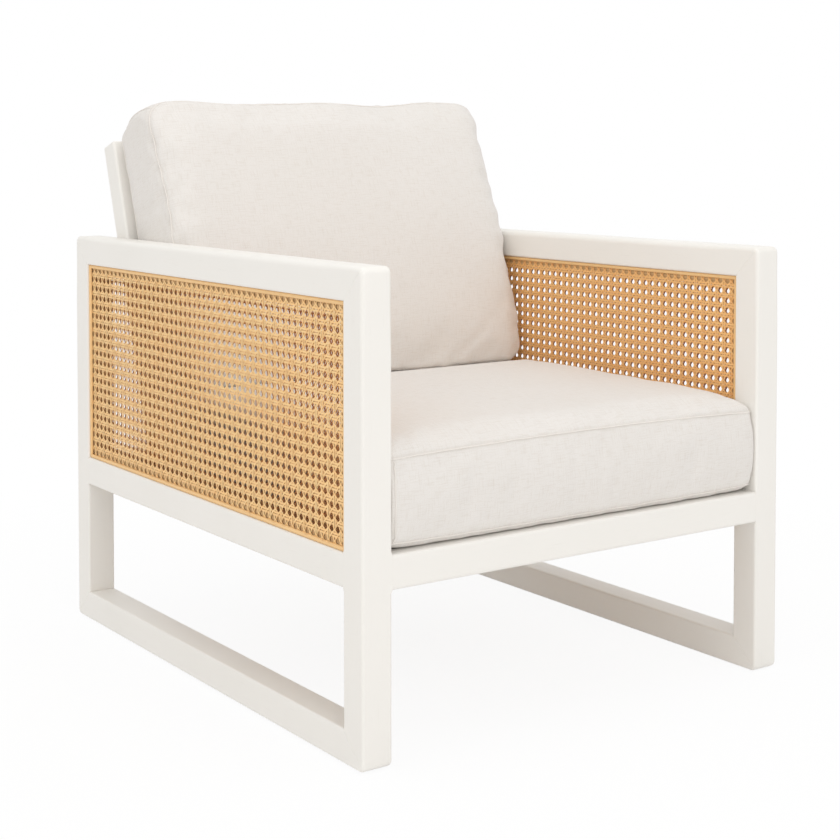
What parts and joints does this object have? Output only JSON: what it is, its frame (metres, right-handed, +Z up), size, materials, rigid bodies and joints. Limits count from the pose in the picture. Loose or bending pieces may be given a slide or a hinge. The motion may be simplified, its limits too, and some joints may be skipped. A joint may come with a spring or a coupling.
{
  "type": "lounge armchair",
  "caption": "Boxy lounge armchair with white mitred loop side frames, woven cane arm panels, a slatted leaning back and loose linen box cushions.",
  "frame": {"origin": "on the floor, under the middle of the chair's outer box", "axes": "+Z up, +X to the viewer's right when facing the chair, the sitter faces -Y"},
  "size_m": [0.74, 0.87, 0.8595],
  "materials": {
    "painted_frame": "satin off-white lacquer on hardwood",
    "bare_timber": "plain sanded hardwood",
    "cane": "natural woven rattan cane and split reed",
    "cushion_linen": "warm ivory linen weave over a foam core",
    "steel_fasteners": "zinc-plated",
    "nylon": "moulded nylon"
  },
  "bodies": {
    "frame": {"arm_rail_left": "painted_frame", "front_leg_left": "painted_frame", "rear_leg_left": "painted_frame", "base_rail_left": "painted_frame", "mid_rail_left": "painted_frame", "liner_top_left": "bare_timber", "liner_bottom_left": "bare_timber", "liner_front_left": "bare_timber", "liner_rear_left": "bare_timber", "cane_outer_left": "cane", "cane_inner_left": "cane", "reed_outer_left": "cane", "reed_inner_left": "cane", "ledger_left": "bare_timber", "back_post_left": "painted_frame", "arm_rail_right": "painted_frame", "front_leg_right": "painted_frame", "rear_leg_right": "painted_frame", "base_rail_right": "painted_frame", "mid_rail_right": "painted_frame", "liner_top_right": "bare_timber", "liner_bottom_right": "bare_timber", "liner_front_right": "bare_timber", "liner_rear_right": "bare_timber", "cane_outer_right": "cane", "cane_inner_right": "cane", "reed_outer_right": "cane", "reed_inner_right": "cane", "ledger_right": "bare_timber", "back_post_right": "painted_frame", "front_seat_rail": "painted_frame", "rear_seat_rail": "painted_frame", "seat_slat_1": "bare_timber", "seat_slat_2": "bare_timber", "seat_slat_3": "bare_timber", "seat_slat_4": "bare_timber", "seat_slat_5": "bare_timber", "seat_slat_6": "bare_timber", "seat_slat_7": "bare_timber", "back_rail_1": "painted_frame", "back_rail_2": "painted_frame", "back_rail_3": "painted_frame", "back_rail_4": "painted_frame", "back_rail_5": "painted_frame", "mitre_dowels": "bare_timber", "mid_rail_dowels": "bare_timber", "seat_rail_dowels": "bare_timber", "back_rail_dowels": "bare_timber", "post_bolts": "steel_fasteners", "bolt_inserts": "steel_fasteners", "ledger_screws": "steel_fasteners", "slat_screws": "steel_fasteners", "liner_screws": "steel_fasteners", "foot_glides": "nylon"},
    "seat_pad": {"seat_cushion": "cushion_linen"},
    "back_pad": {"back_cushion": "cushion_linen"}
  },
  "joints": [
    {"name": "seat_cushion_lift", "type": "slide", "parent": "frame", "child": "seat_pad", "axis": [0, 0, 1], "range_m": [0, 0.4]},
    {"name": "back_cushion_lift", "type": "slide", "parent": "seat_pad", "child": "back_pad", "axis": [0, 0, 1], "range_m": [0, 0.4]}
  ]
}
